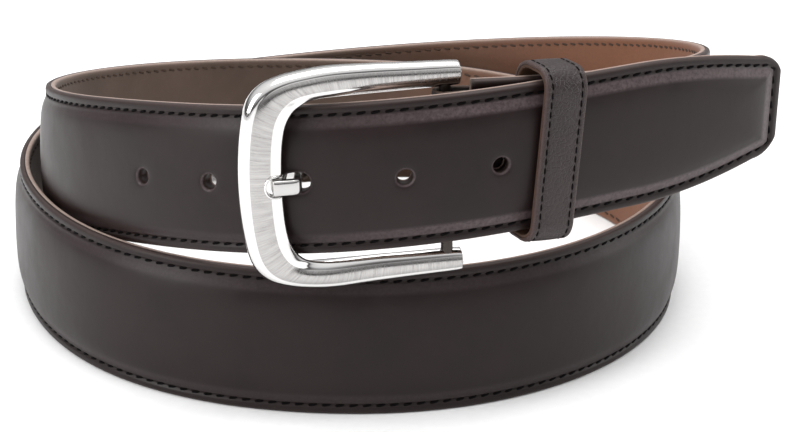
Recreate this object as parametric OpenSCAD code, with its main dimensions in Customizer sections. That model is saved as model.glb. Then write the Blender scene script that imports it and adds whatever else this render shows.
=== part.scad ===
// Leather dress belt, buckled and coiled in two turns, standing on its lower edge.
// Origin: floor under the middle of the whole belt. +Z up, front of the ring faces -Y.
// The strap is laid along a winding angle t, in degrees. t = 0 is the front of the inner turn,
// 360 the front of the low turn and 720 the front of the outer turn, under the buckle.

/* [Strap] */
// Strap width
strap_w = 35;          // [28:0.5:42]
// Thickness of the padded middle, face leather only
crown_h = 3.1;         // [2:0.05:4]
// Thickness of the face leather along the stitched edges
edge_h = 1.4;          // [1:0.05:2]
// Lining thickness
lining_t = 1.2;        // [0.8:0.05:1.6]
// Distance between the two layers of strap at the front
layer_gap = 4.7;       // [4.5:0.05:6]

/* [Ring] */
// Height of the raised front part above the floor
lift_h = 47.4;         // [0:0.1:60]
// Winding angle where the raised inner turn starts to come down
down_from = 8.4;       // [0:0.1:60]
// Winding angle it takes to come down
down_over = 200.5;     // [120:0.5:300]
// Winding angle where the outer turn starts to climb
up_from = 533;         // [480:1:580]
// Winding angle it takes to climb
up_over = 230.25;      // [150:0.25:260]

/* [Tip] */
// Winding angle where the free end stops
tip_end = 787.25;      // [770:0.25:800]
// Winding angle where the free end leaves the keeper and flares outward
tip_flare_from = 747;  // [740:0.5:760]
// How fast the free end straightens
tip_flare = 0.8;       // [0:0.05:1]
// Winding angle of the bending line of the free end
tip_flex_at = 756.5;   // [754:0.5:765]
// Length of the tapered end
tip_taper = 41;        // [20:1:45]
// Half width at the squared end
tip_half = 13.2;       // [8:0.1:14]

/* [Holes] */
// Hole diameter
hole_d = 3.6;          // [3:0.1:6]

/* [Buckle] */
// Winding angle of the heel bar
bar_at = 13.5;         // [10:0.5:20]
// Heel bar diameter
bar_d = 2.8;           // [2.4:0.1:3]
// Turn of the buckle in plan
buckle_yaw = 12.2;     // [8:0.1:16]
// Dip of the buckle nose
buckle_dip = 2;        // [0:0.1:5]
// Height of the heel bar's middle
bar_z = 60.9;          // [50:0.1:70]
// Prong width
prong_w = 3.7;         // [3:0.1:5]

/* [Keeper] */
// Winding angle of the keeper, counted on the inner turn
keeper_at = 28.1;      // [24:0.1:34]
// Keeper width along the strap
keeper_w = 11;         // [8:0.5:16]

/* [Hidden] */
ring_r = [93.5, 90.5, 91.55, 92.85, 87.8, 82.75, 85.7, 80.25];
ring_lean = [-2.2, 1.65, -4, 2.5, -9, 0, 3, -2.1];
full_turn = 360;
step_deg = 0.25;
mid_x = 4.5;
mid_y = -1.96;
merge_from = 50;
merge_over = 60;
part_from = 670;
part_over = 50;
pass_at = 324;
pass_over = 36;
pass_out = 1.5;
pass_in = 1.75;
strap_from = 16.9;
strap_steps = 120;
chord_dip = 0.13;
end_gap_deg = 0.35;
mm_per_deg = 1.66;
tip_corner = 6.4;
tip_pad_stop = 6.2;
hole_at = [685.8, 698.8, 726.8, 740];
prong_hole_u = 34.7;
prong_hole_at = 712.1;
seam_d = 2.2;
seam_w = 0.6;
seam_h = 0.24;
skin = 0.02;
fold_t = 1.15;
fold_lo = 2;
fold_hi = 32.6;
fold_r = 1.85;
fold_steps = 3;
bar_offset = -0.9;
bore_gap = 0.05;
loop_r = 3;
frame_lo = -1.6;
frame_hi = 2;
nose_rise = 1.4;
notch_h = 4.6;
notch_floor = 2.2;
notch_to = 42;
keeper_skin = 0.95;
keeper_lin = 0.75;
leather = [0.17, 0.12, 0.11];
leather_2 = [0.2, 0.13, 0.13];
tan_col = [0.5, 0.32, 0.22];
felt = [0.55, 0.5, 0.45];
steel = [0.78, 0.77, 0.75];
thread = [0.1, 0.07, 0.07];

// ---- the way the strap lies ----
function ease(x) = (1 - cos(180 * min(max(x, 0), 1))) / 2;
function ctrl(c, i) = c[(i + 8) % 8];
function curve_sum(c, i, f) = (pow(1 - f, 3) * ctrl(c, i - 1)
    + (3 * pow(f, 3) - 6 * f * f + 4) * ctrl(c, i)
    + (-3 * pow(f, 3) + 3 * f * f + 3 * f + 1) * ctrl(c, i + 1)
    + pow(f, 3) * ctrl(c, i + 2)) / 6;
function curve(c, t) = curve_sum(c, floor(t / 90), t / 90 - floor(t / 90));
function bell(x) = (1 + cos(180 * min(abs(x), 1))) / 2;
// Half the gap between layers at the front, and the small step apart where the turns pass each other.
function side(t) = t < full_turn
    ? pass_out * bell((t - pass_at) / pass_over)
        - layer_gap / 2 * (1 - ease((t - merge_from) / merge_over))
    : layer_gap / 2 * ease((t - part_from) / part_over)
        - pass_in * bell((t - full_turn - pass_at) / pass_over);
flare_r = curve(ring_r, tip_flare_from) + layer_gap / 2;
flare_rate = curve(ring_r, tip_flare_from + 0.5) - curve(ring_r, tip_flare_from - 0.5);
flare_a = atan2(flare_rate * 180 / PI, flare_r);
function radius(t) = t > tip_flare_from
    ? flare_r * cos(flare_a) / cos(flare_a + (t - tip_flare_from) * tip_flare)
    : curve(ring_r, t) + side(t);
function lift(t) = lift_h * (t < full_turn ? 1 - ease((t - down_from) / down_over)
    : ease((t - up_from) / up_over));
function lean(t) = curve(ring_lean, t);
function spot(t) = [radius(t) * sin(t) - mid_x, -radius(t) * cos(t) - mid_y, lift(t)];
function along(t) = spot(t + step_deg) - spot(t - step_deg);
function flat_len(v) = norm([v.x, v.y]);
function out_dir(v) = [v.y, -v.x, 0] / flat_len(v);
function rise(v) = atan2(v.z, flat_len(v));
// Points of one cross section: pts is a list of [a, n], a up from the lower edge, n outward.
function section(t, pts) = let (o = spot(t), v = along(t), d = out_dir(v), k = tan(lean(t)),
    c = cos(rise(v))) [for (p = pts) o + d * (p[1] + k * (p[0] - strap_w / 2)) + [0, 0, p[0] / c]];
function at(t, a, n) = section(t, [[a, n]])[0];

// Places children in the strap's own frame: x along it, y inward, z up from its middle line.
module on_strap(t) {
    v = along(t);
    translate(at(t, strap_w / 2, 0))
        rotate([lean(t), -rise(v), atan2(v.y, v.x)])
            children();
}

// A closed skin through rings of points. Each ring goes up one face and back down the other,
// and its first and second half match point by point.
module skin_rings(rings) {
    m = len(rings[0]);
    h = m / 2;
    last = (len(rings) - 1) * m;
    sides = [for (i = [0 : len(rings) - 2]) for (j = [0 : m - 1])
        let (p = i * m + j, q = i * m + (j + 1) % m)
        each [[p, q, q + m], [p, q + m, p + m]]];
    caps = [for (j = [0 : h - 2]) each [
        [j + 1, j, m - 1 - j], [j + 1, m - 1 - j, m - 2 - j],
        [last + j, last + j + 1, last + m - 2 - j], [last + j, last + m - 2 - j, last + m - 1 - j]]];
    polyhedron(points = [for (r = rings) each r], faces = concat(sides, caps), convexity = 10);
}

// ---- strap section ----
dist = [0, 2.9, 4.6, 6.2, 8.8, 12.5, 17.5];
pad_dist = [4, 4.6, 6.2, 8.8, 12.5, 17.5];
crease = 6.2;
half_full = 17.5;
function face_top(d) = lookup(d, [[0, edge_h], [2.9, edge_h - 0.05], [4.6, crown_h - 1.05],
    [6.2, crown_h - 0.6], [8.8, crown_h - 0.25], [12.5, crown_h - 0.05], [17.5, crown_h]]);
function face_under(d) = lookup(d, [[0, 0], [3.6, 0], [4.6, 0.7], [6.2, 1.2], [8.8, 1.6],
    [12.5, 1.8], [17.5, 1.87]]);
function squeeze(d, half) = d <= crease ? d
    : crease + (d - crease) * (half - crease) / (half_full - crease);
// Heights across the strap: both halves, lower edge first. e is the distance to the free end.
function across(ds, half, e, f) = concat(
    [for (d = ds) [strap_w / 2 - half + squeeze(d, half), lookup_f(f, min(d, e))]],
    [for (i = [len(ds) - 2 : -1 : 0]) let (d = ds[i])
        [strap_w / 2 + half - squeeze(d, half), lookup_f(f, min(d, e))]]);
function lookup_f(f, d) = f == 0 ? face_top(d) : f == 1 ? face_under(d)
    : f == 2 ? face_under(d) - 0.05 : f == 3 ? 0.03 : f == 4 ? -skin : -lining_t;
function back(list) = [for (i = [len(list) - 1 : -1 : 0]) list[i]];
function loop_of(ds, half, e, top, under) = concat(across(ds, half, e, top),
    back(across(ds, half, e, under)));
module layer(ts, ds, top, under) {
    skin_rings([for (s = ts) section(s[0], loop_of(ds, s[1], s[2], top, under))]);
}
far = 100;
function station(i) = strap_from + (tip_flex_at - end_gap_deg - strap_from) * i / strap_steps;
main_ts = [for (i = [0 : strap_steps]) [station(i), strap_w / 2, far]];
function tip_half_at(e) = e < tip_corner
    ? tip_half - tip_corner + sqrt(tip_corner * tip_corner - pow(tip_corner - e, 2))
    : strap_w / 2 - (strap_w / 2 - tip_half)
        * pow(max(0, 1 - (e - tip_corner) / (tip_taper - tip_corner)), 2);
tip_len = (tip_end - tip_flex_at - end_gap_deg) * mm_per_deg;
tip_es = concat([tip_len, tip_len - 4, tip_taper + 1.5, tip_taper - 1],
    [for (i = [0 : 9]) 36 - i * 3], [7.4, 6.2, 4.9, 3.9, 2.7, 1.6, 0.8, 0.25, 0]);
function tip_t(e) = tip_end - e / mm_per_deg;
tip_ts = [for (e = tip_es) [tip_t(e), tip_half_at(e), e]];
tip_pad_ts = [for (e = tip_es) if (e >= tip_pad_stop) [tip_t(e), tip_half_at(e), e]];

// A flat thread laid along a list of [t, a] points, from n0 to n1 above the seam line.
module strand(path, n0, n1) {
    last = len(path) - 1;
    skin_rings([for (i = [0 : last]) let (p = path[i], q = path[min(i + 1, last)],
        o = path[max(i - 1, 0)], ds = (q[0] - o[0]) * mm_per_deg, da = q[1] - o[1],
        l = norm([ds, da]), ws = -da / l * seam_w / 2 / mm_per_deg, wa = ds / l * seam_w / 2,
        lo = section(p[0] - ws, [[p[1] - wa, n1], [p[1] - wa, n0]]),
        hi = section(p[0] + ws, [[p[1] + wa, n1], [p[1] + wa, n0]]))
        [lo[0], hi[0], hi[1], lo[1]]]);
}
function run(from_step, a) = [for (i = [from_step : strap_steps]) [station(i), a]];
function seam_a(e) = tip_half_at(e) - seam_d;
seam_es = [for (e = tip_es) if (e >= tip_corner + 1 && e < tip_len) e];
corner_e = seam_d + 2;
end_a = seam_a(tip_corner + 1) - 1.6;
tip_path = concat([[tip_t(tip_len - 0.3), seam_d]],
    [for (e = seam_es) [tip_t(e), strap_w / 2 - seam_a(e)]],
    [[tip_t(corner_e - 0.6), strap_w / 2 - end_a - 0.9], [tip_t(seam_d), strap_w / 2 - end_a + 0.9],
     [tip_t(seam_d), strap_w / 2], [tip_t(seam_d), strap_w / 2 + end_a - 0.9],
     [tip_t(corner_e - 0.6), strap_w / 2 + end_a + 0.9]],
    [for (e = back(seam_es)) [tip_t(e), strap_w / 2 + seam_a(e)]],
    [[tip_t(tip_len - 0.3), strap_w - seam_d]]);
seam_n = edge_h - skin;
lining_n = -lining_t - skin - seam_h;
bobbin_step = fold_steps + 1;
fold_end = station(fold_steps);

module hole_through(t, d) {
    on_strap(t)
        rotate([90, 0, 0])
            cylinder(h = 12, d = d, center = true, $fn = 48);
}
// The hole that the prong is in is worn long.
module prong_hole() {
    long_r = 2.4;
    half_long = 0.9;
    on_strap(prong_hole_at)
        translate([0, 0, prong_hole_z - at(prong_hole_at, strap_w / 2, 0).z])
            rotate([90, 0, 0]) {
                translate([-half_long, 0, 0])
                    cylinder(h = 14, r = long_r, center = true, $fn = 48);
                translate([half_long, 0, 0])
                    cylinder(h = 14, r = long_r, center = true, $fn = 48);
                cube([2 * half_long, 2 * long_r, 14], center = true);
            }
}
module all_holes() {
    for (t = hole_at) {
        hole_through(t, hole_d);
    }
    prong_hole();
}

module strap_face_leather() {
    color(leather)
        difference() {
            layer(main_ts, dist, 0, 1);
            all_holes();
        }
}
module strap_padding() {
    color(felt)
        difference() {
            layer(main_ts, pad_dist, 2, 3);
            all_holes();
        }
}
module strap_lining() {
    color(tan_col)
        difference() {
            layer(main_ts, [0, 8, 17.5], 4, 5);
            all_holes();
        }
}
module upper_face_thread() {
    color(thread)
        strand(run(0, strap_w - seam_d), seam_n, seam_n + seam_h);
}
module lower_face_thread() {
    color(thread)
        strand(run(0, seam_d), seam_n, seam_n + seam_h);
}
module upper_lining_thread() {
    color(thread)
        strand(run(bobbin_step, strap_w - seam_d), lining_n, lining_n + seam_h);
}
module lower_lining_thread() {
    color(thread)
        strand(run(bobbin_step, seam_d), lining_n, lining_n + seam_h);
}

// ---- buckle frame of reference: u toward the nose, n outward, a up the bar ----
function rx(v, w) = [v.x, v.y * cos(w) - v.z * sin(w), v.y * sin(w) + v.z * cos(w)];
function ry(v, w) = [v.x * cos(w) + v.z * sin(w), v.y, v.z * cos(w) - v.x * sin(w)];
function rz(v, w) = [v.x * cos(w) - v.y * sin(w), v.x * sin(w) + v.y * cos(w), v.z];
bar_lean = lean(bar_at);
bar_base = at(bar_at, strap_w / 2, bar_offset);
bar_mid = [bar_base.x, bar_base.y, bar_z];
function in_buckle(u, n, a) = bar_mid + rz(ry(rx([-u, -n, a], bar_lean), -buckle_dip), buckle_yaw);
prong_hole_z = in_buckle(prong_hole_u, 0, 0).z;
module on_buckle() {
    translate(bar_mid)
        rotate([bar_lean, -buckle_dip, buckle_yaw])
            children();
}

// Strap end turned round the heel bar, skived thin, back along the lining past the keeper.
fold_a_lo = fold_lo + at(bar_at, 0, 0).z - bar_z;
fold_a_hi = fold_hi + at(bar_at, 0, 0).z - bar_z;
fold_n = -lining_t - 0.05;
module fold_tab() {
    outer_leg = [[strap_from - 0.2, 0.06]];
    inner_leg = concat([[strap_from - 0.2, -2.25], [strap_from + 2.6, -1.75]],
        [for (i = [1 : fold_steps]) [station(i), fold_n]]);
    rings = concat(
        [for (p = outer_leg) section(p[0], [[fold_lo, p[1] + fold_t], [fold_hi, p[1] + fold_t],
            [fold_hi, p[1]], [fold_lo, p[1]]])],
        [for (w = [90 : -10 : -90]) let (c = cos(w), s = sin(w), r = fold_r + fold_t)
            [in_buckle(c * r, s * r, fold_a_lo), in_buckle(c * r, s * r, fold_a_hi),
             in_buckle(c * fold_r, s * fold_r, fold_a_hi), in_buckle(c * fold_r, s * fold_r, fold_a_lo)]],
        [for (p = inner_leg) section(p[0], [[fold_lo, p[1] - fold_t], [fold_hi, p[1] - fold_t],
            [fold_hi, p[1]], [fold_lo, p[1]]])]);
    color(leather)
        difference() {
            skin_rings(rings);
            on_buckle()
                translate([-5, -5, -prong_w / 2 - 0.5])
                    cube([10, 10, prong_w + 1]);
        }
}
module fold_seam_thread() {
    across_at = fold_end - 1.6;
    under = fold_n - fold_t - skin - chord_dip;
    color(thread)
        strand([for (i = [0 : 6]) [across_at, fold_lo + 2 + (fold_hi - fold_lo - 4) * i / 6]],
            under - seam_h, under);
}

// ---- buckle ----
outer_ua = [[48, 0], [47.8, 6], [47.2, 12], [46.2, 17.2], [44.6, 20.7], [42, 23.2], [38.5, 24.7],
    [34, 25.7], [27, 26.4], [18, 26.2], [8, 25.8], [-2.2, 25.4], [-3.4, 24.8]];
inner_ua = [[38.1, 0], [38, 5], [37.7, 9.5], [37.1, 13], [36, 15.6], [34.5, 17.5], [32.3, 18.8],
    [29.3, 19.35], [25, 19.45], [17, 19.5], [8, 19.6], [-2.2, 19.8], [-3.4, 20.4]];
// [share of the band from outer to inner edge, share of its thickness]
frame_cut = [[0.06, 0], [0, 0.15], [0, 0.55], [0.05, 0.74], [0.13, 0.9], [0.24, 1], [0.72, 1],
    [0.87, 0.9], [0.96, 0.68], [1, 0.42], [1, 0.15], [0.94, 0]];
function mix(p, q, f) = p * (1 - f) + q * f;
function smooth_at(l, i, f) = let (last = len(l) - 1, p = l[i], q = l[min(i + 1, last)],
    o = i == 0 ? [p[0] * 2 - q[0], -q[1]] : l[i - 1], r = l[min(i + 2, last)],
    oo = i == 0 ? [q[0], -q[1]] : o)
    ((2 * p) + (q - oo) * f + (2 * oo - 5 * p + 4 * q - r) * f * f
        + (3 * p - oo - 3 * q + r) * f * f * f) / 2;
function half_way(l) = [for (i = [0 : len(l) - 2]) for (f = [0, 1 / 3, 2 / 3]) smooth_at(l, i, f)];
outer_half = concat(half_way(outer_ua), [outer_ua[len(outer_ua) - 1]]);
inner_half = concat(half_way(inner_ua), [inner_ua[len(inner_ua) - 1]]);
function frame_top(u) = frame_hi + nose_rise * ease((u - 14) / 20);
function frame_under(u, a) = mix(min(1.65, 1.65 - 0.5 * (u - 37.5)), frame_lo,
    ease((abs(a) - 18.2) / 2.2));
function frame_ring(o, i, s) = [for (c = frame_cut) let (p = mix(o, i, c[0]), u = p[0],
    lo = max(frame_lo, frame_under(u, p[1])), hi = frame_top(u)) [-u, -mix(lo, hi, c[1]), p[1] * s]];
frame_n = len(outer_half);
module frame_body() {
    rings = concat([for (k = [frame_n - 1 : -1 : 0]) frame_ring(outer_half[k], inner_half[k], 1)],
        [for (k = [1 : frame_n - 1]) frame_ring(outer_half[k], inner_half[k], -1)]);
    skin_rings(rings);
}
module buckle_frame() {
    bar_hole_r = bar_d / 2 + 0.01;
    bar_hole_mid = 21.35;
    bar_hole_h = 5.4;
    color(steel)
        on_buckle()
            difference() {
                frame_body();
                for (s = [-1, 1]) {
                    translate([0, 0, s * bar_hole_mid])
                        cylinder(h = bar_hole_h, r = bar_hole_r, center = true, $fn = 48);
                }
                translate([-notch_to, -6, -notch_h / 2])
                    cube([7, 6 - notch_floor, notch_h]);
            }
}
module heel_bar() {
    color(steel)
        on_buckle()
            cylinder(h = 48, d = bar_d, center = true, $fn = 48);
}
// Side outline of the prong as [u, n]: loop, dropped shank, steep step through the hole, nose end.
prong_side = [[0, -2.9], [8, -3.5], [20, -4.4], [33.9, -5.15], [34.5, -4.9], [36.9, 2.3], [40.2, 2.28],
    [40.7, 2.9], [40.5, 3.9], [39.6, 4.4], [36.2, 4.45], [35.3, 4.1], [32.9, -3.25], [20, -2.5],
    [8, -1.35], [2.4, 1.6]];
module prong() {
    color(steel)
        on_buckle()
            difference() {
                union() {
                    cylinder(h = prong_w, r = loop_r, center = true, $fn = 48);
                    linear_extrude(height = prong_w, center = true)
                        polygon([for (p = prong_side) [-p[0], -p[1]]]);
                }
                cylinder(h = prong_w + 2, r = bar_d / 2 + bore_gap, center = true, $fn = 48);
            }
}

// ---- keeper ----
keeper_in = 2.95;
keeper_out = 8.35;
keeper_half = 19.3;
keeper_mid = 0.3;
module round_box(g, r) {
    x0 = -keeper_out - g;
    x1 = keeper_in + g;
    y = keeper_half + g;
    translate([x0 + r, -y])
        square([x1 - x0 - 2 * r, 2 * y]);
    translate([x0, r - y])
        square([x1 - x0, 2 * y - 2 * r]);
    for (x = [x0 + r, x1 - r]) {
        for (s = [-1, 1]) {
            translate([x, s * (y - r)])
                circle(r = r, $fn = 64);
        }
    }
}
module keeper_ring(g0, r0, g1, r1, w, shift) {
    on_strap(keeper_at)
        translate([shift, 0, keeper_mid])
            rotate([90, 0, 90])
                linear_extrude(height = w, center = true)
                    difference() {
                        round_box(g1, r1);
                        round_box(g0, r0);
                    }
}
keeper_wall = keeper_lin + skin + keeper_skin;
keeper_r = 3.6;
module keeper_face_leather() {
    color(leather_2)
        keeper_ring(keeper_lin + skin, keeper_r + keeper_lin, keeper_wall, keeper_r + keeper_wall,
            keeper_w, 0);
}
module keeper_lining() {
    color(tan_col)
        keeper_ring(0, keeper_r, keeper_lin, keeper_r + keeper_lin, keeper_w - 0.2, 0);
}
module keeper_thread(s) {
    color(thread)
        keeper_ring(keeper_wall + skin, keeper_r + keeper_wall, keeper_wall + seam_h,
            keeper_r + keeper_wall, seam_w, s * (keeper_w / 2 - 1.5));
}
module keeper_seam_thread_a() {
    keeper_thread(-1);
}
module keeper_seam_thread_b() {
    keeper_thread(1);
}
module keeper_staple() {
    staple = [7, 0.45, 0.9];
    color(steel)
        on_strap(keeper_at)
            translate([-staple.x / 2, keeper_in + keeper_wall + skin, keeper_mid - staple.z / 2])
                cube(staple);
}

// ---- free end ----
module tip_face_leather() {
    color(leather)
        layer(tip_ts, dist, 0, 1);
}
module tip_padding() {
    color(felt)
        layer(tip_pad_ts, pad_dist, 2, 3);
}
module tip_lining() {
    color(tan_col)
        layer(tip_ts, [0, 5, 17.5], 4, 5);
}
module tip_face_thread() {
    color(thread)
        strand(tip_path, seam_n, seam_n + seam_h);
}
module tip_lining_thread() {
    color(thread)
        strand(tip_path, lining_n, lining_n + seam_h);
}

strap_face_leather();
strap_padding();
strap_lining();
upper_face_thread();
lower_face_thread();
upper_lining_thread();
lower_lining_thread();
fold_tab();
fold_seam_thread();
buckle_frame();
heel_bar();
prong();
keeper_face_leather();
keeper_lining();
keeper_seam_thread_a();
keeper_seam_thread_b();
keeper_staple();
tip_face_leather();
tip_padding();
tip_lining();
tip_face_thread();
tip_lining_thread();
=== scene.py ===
import math

import bmesh
import bpy
import numpy as np
from mathutils import Matrix, Vector


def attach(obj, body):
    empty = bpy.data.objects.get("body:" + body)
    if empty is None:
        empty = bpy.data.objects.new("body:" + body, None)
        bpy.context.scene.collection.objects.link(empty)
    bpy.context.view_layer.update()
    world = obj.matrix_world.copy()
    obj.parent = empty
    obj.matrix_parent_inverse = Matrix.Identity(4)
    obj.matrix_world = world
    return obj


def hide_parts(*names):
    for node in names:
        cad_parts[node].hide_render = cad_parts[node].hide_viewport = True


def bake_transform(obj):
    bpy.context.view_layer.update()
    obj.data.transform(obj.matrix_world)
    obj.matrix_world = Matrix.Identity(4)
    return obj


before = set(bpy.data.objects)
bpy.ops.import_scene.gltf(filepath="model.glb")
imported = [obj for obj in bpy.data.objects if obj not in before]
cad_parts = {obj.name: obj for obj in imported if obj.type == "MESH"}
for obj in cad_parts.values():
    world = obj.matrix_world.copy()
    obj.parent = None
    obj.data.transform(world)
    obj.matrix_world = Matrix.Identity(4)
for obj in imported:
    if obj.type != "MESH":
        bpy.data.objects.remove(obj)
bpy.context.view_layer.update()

MM = 0.001
rng = np.random.default_rng(7)

# ---------------------------------------------------------------- the strap's lay (mm, degrees)
W = 35.0                 # strap width
FULL_TURN = 360
LIFT, DOWN_FROM, DOWN_OVER, UP_FROM, UP_OVER = 47.4, 8.4, 200.5, 533.0, 230.25
GAP = 4.7                # between the middles of the two layers at the front
MERGE_FROM, MERGE_OVER, PART_FROM, PART_OVER = 50, 60, 670, 50
RING_R = np.array([93.5, 90.5, 91.55, 92.85, 87.8, 82.75, 85.7, 80.25])
RING_LEAN = np.array([-2.2, 1.65, -4, 2.5, -9, 0, 3, -2.1])
PASS_AT, PASS_OVER, PASS_OUT, PASS_IN = 324.0, 36.0, 1.5, 1.75
TIP_END, FLARE_FROM, FLARE = 787.25, 747.0, 0.8
MID = (4.5, -1.96)
STRAP_FROM = 16.9
SPLIT = 747.2            # main strap and free end meet here, under the keeper
MM_PER_DEG = 1.66
SEAM_D = 2.2             # seam, from the edge
PITCH = 3.2              # stitch pitch


def ease(x):
    return (1 - np.cos(np.pi * np.clip(x, 0, 1))) / 2


def curve(c, t):
    x = np.asarray(t, float) / 90.0
    i = np.floor(x).astype(int)
    f = x - i
    return ((1 - f) ** 3 * c[(i - 1) % 8] + (3 * f**3 - 6 * f**2 + 4) * c[i % 8]
            + (-3 * f**3 + 3 * f**2 + 3 * f + 1) * c[(i + 1) % 8] + f**3 * c[(i + 2) % 8]) / 6


FLARE_R = float(curve(RING_R, FLARE_FROM)) + GAP / 2
FLARE_SLOPE = float(curve(RING_R, FLARE_FROM + 0.5) - curve(RING_R, FLARE_FROM - 0.5)) * 180 / math.pi
FLARE_A = math.atan2(FLARE_SLOPE, FLARE_R)


def bell(x):
    return (1 + np.cos(np.pi * np.minimum(np.abs(x), 1))) / 2


def radius(t):
    t = np.asarray(t, float)
    inner = (curve(RING_R, t) - GAP / 2 * (1 - ease((t - MERGE_FROM) / MERGE_OVER))
             + PASS_OUT * bell((t - PASS_AT) / PASS_OVER))
    outer = (curve(RING_R, t) + GAP / 2 * ease((t - PART_FROM) / PART_OVER)
             - PASS_IN * bell((t - FULL_TURN - PASS_AT) / PASS_OVER))
    flare = FLARE_R * np.cos(FLARE_A) / np.cos(FLARE_A + np.radians(np.maximum(t - FLARE_FROM, 0) * FLARE))
    return np.where(t > FLARE_FROM, flare, np.where(t < FULL_TURN, inner, outer))


def lift(t):
    t = np.asarray(t, float)
    coming_down = 1 - ease((t - DOWN_FROM) / DOWN_OVER)
    return LIFT * np.where(t < FULL_TURN, coming_down, ease((t - UP_FROM) / UP_OVER))


def spot(t):
    a, r = np.radians(t), radius(t)
    return np.stack([r * np.sin(a) - MID[0], -r * np.cos(a) - MID[1], lift(t)], -1)


def at(t, a, n):
    """Points of the strap: winding angle, height above the lower edge, distance outward."""
    t, a, n = np.broadcast_arrays(np.asarray(t, float), np.asarray(a, float), np.asarray(n, float))
    v = spot(t + 0.25) - spot(t - 0.25)
    flat = np.hypot(v[..., 0], v[..., 1])
    out = np.stack([v[..., 1] / flat, -v[..., 0] / flat, 0 * flat], -1)
    k = np.tan(np.radians(curve(RING_LEAN, t)))
    p = spot(t) + out * (n + k * (a - W / 2))[..., None]
    p[..., 2] += a * np.hypot(1, v[..., 2] / flat)
    return p


def axes_at(t):
    """Rotation whose columns are along, inward and up at a place on the strap."""
    v = (spot(t + 0.25) - spot(t - 0.25)).reshape(3)
    flat = math.hypot(v[0], v[1])
    return (Matrix.Rotation(math.atan2(v[1], v[0]), 3, "Z")
            @ Matrix.Rotation(-math.atan2(v[2], flat), 3, "Y")
            @ Matrix.Rotation(math.radians(float(curve(RING_LEAN, t))), 3, "X"))


# ---------------------------------------------------------------- materials
IN_MM = (1000, 1000, 1000)    # texture scale that makes a unit one millimetre


def nodes_of(name):
    m = bpy.data.materials.new(name)
    m.use_nodes = True
    nt = m.node_tree
    return m, nt, nt.nodes["Principled BSDF"]


def add(nt, kind, **inputs):
    n = nt.nodes.new(kind)
    for key, value in inputs.items():
        key = key.replace("_", " ")
        if key in n.inputs:
            n.inputs[key].default_value = value
    return n


def link(nt, a, b):
    nt.links.new(a, b)


def coords(nt, scale, source="Object"):
    tc = nt.nodes.new("ShaderNodeTexCoord")
    mp = nt.nodes.new("ShaderNodeMapping")
    mp.inputs["Scale"].default_value = scale
    link(nt, tc.outputs[source], mp.inputs["Vector"])
    return mp.outputs["Vector"]


def ramp(nt, fac, stops):
    r = nt.nodes.new("ShaderNodeValToRGB")
    while len(r.color_ramp.elements) < len(stops):
        r.color_ramp.elements.new(0.5)
    for e, (p, c) in zip(r.color_ramp.elements, stops):
        e.position = p
        e.color = (*c, 1) if len(c) == 3 else c
    link(nt, fac, r.inputs["Fac"])
    return r.outputs["Color"]


def mix(nt, fac, a, b):
    m = nt.nodes.new("ShaderNodeMix")
    m.data_type = "RGBA"
    if isinstance(fac, float):
        m.inputs[0].default_value = fac
    else:
        link(nt, fac, m.inputs[0])
    for sock, v in ((m.inputs[6], a), (m.inputs[7], b)):
        if isinstance(v, tuple):
            sock.default_value = (*v, 1)
        else:
            link(nt, v, sock)
    return m.outputs[2]


def math_node(nt, op, a, b=None, clamp=False):
    m = nt.nodes.new("ShaderNodeMath")
    m.operation = op
    m.use_clamp = clamp
    for sock, v in ((m.inputs[0], a), (m.inputs[1], b)):
        if v is None:
            continue
        if isinstance(v, (int, float)):
            sock.default_value = v
        else:
            link(nt, v, sock)
    return m.outputs[0]


def span(nt, value, lo, hi, to_lo, to_hi):
    m = nt.nodes.new("ShaderNodeMapRange")
    link(nt, value, m.inputs["Value"])
    for key, v in (("From Min", lo), ("From Max", hi), ("To Min", to_lo), ("To Max", to_hi)):
        m.inputs[key].default_value = v
    return m.outputs["Result"]


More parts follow.
